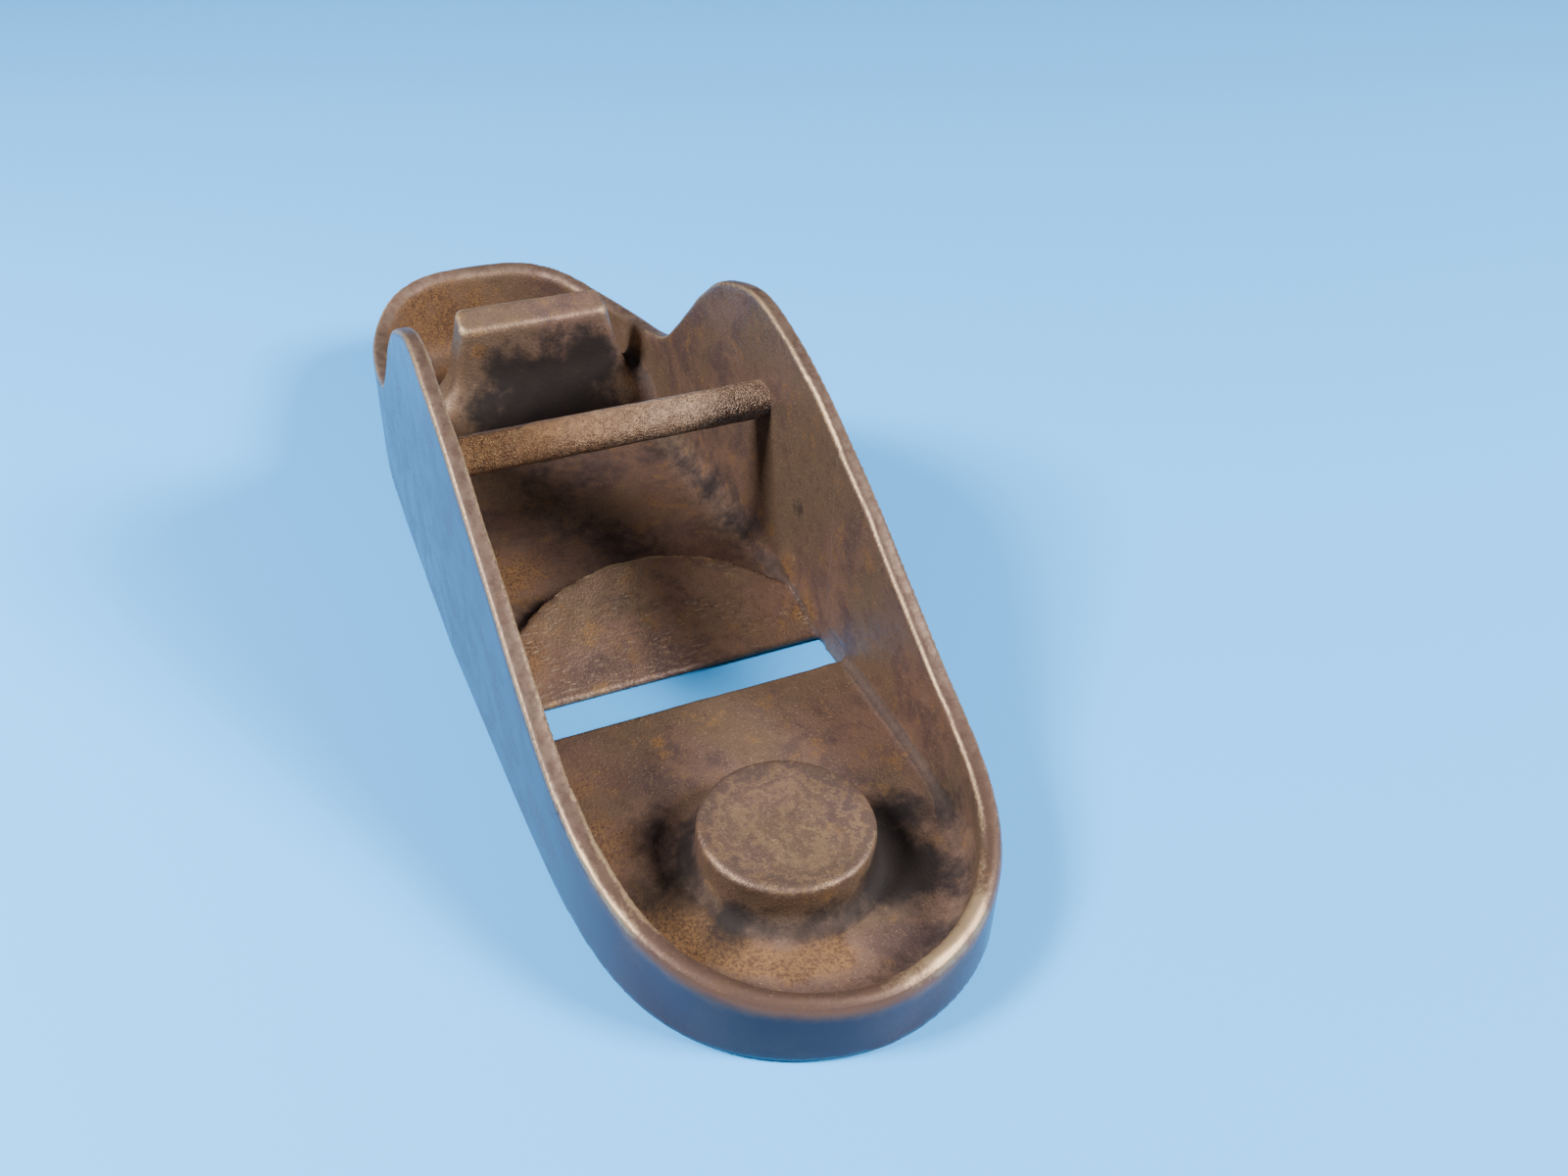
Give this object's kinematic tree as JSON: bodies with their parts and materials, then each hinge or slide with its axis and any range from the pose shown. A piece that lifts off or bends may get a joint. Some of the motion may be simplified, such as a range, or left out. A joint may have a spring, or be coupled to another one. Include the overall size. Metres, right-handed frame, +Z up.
{
  "type": "block plane body",
  "caption": "Low-angle block plane stripped to its body: iron casting with humped cheeks, mouth, inclined bed, rear rest, finger boss, and a cross pin through the cheeks.",
  "frame": {"origin": "on the flat underside of the sole, below the middle of the bounding box", "axes": "+X along the sole to the toe, +Y to the left-hand cheek seen from behind, +Z up"},
  "size_m": [0.14, 0.0444, 0.0386],
  "materials": {
    "cast_iron": "rust-brown bare casting inside, ground and glossy outside, worn bright along the rims",
    "pin_steel": "plain steel bar with a thin, even coat of brown rust"
  },
  "bodies": {
    "root": {"body_casting": "cast_iron", "cross_pin": "pin_steel"}
  },
  "joints": []
}
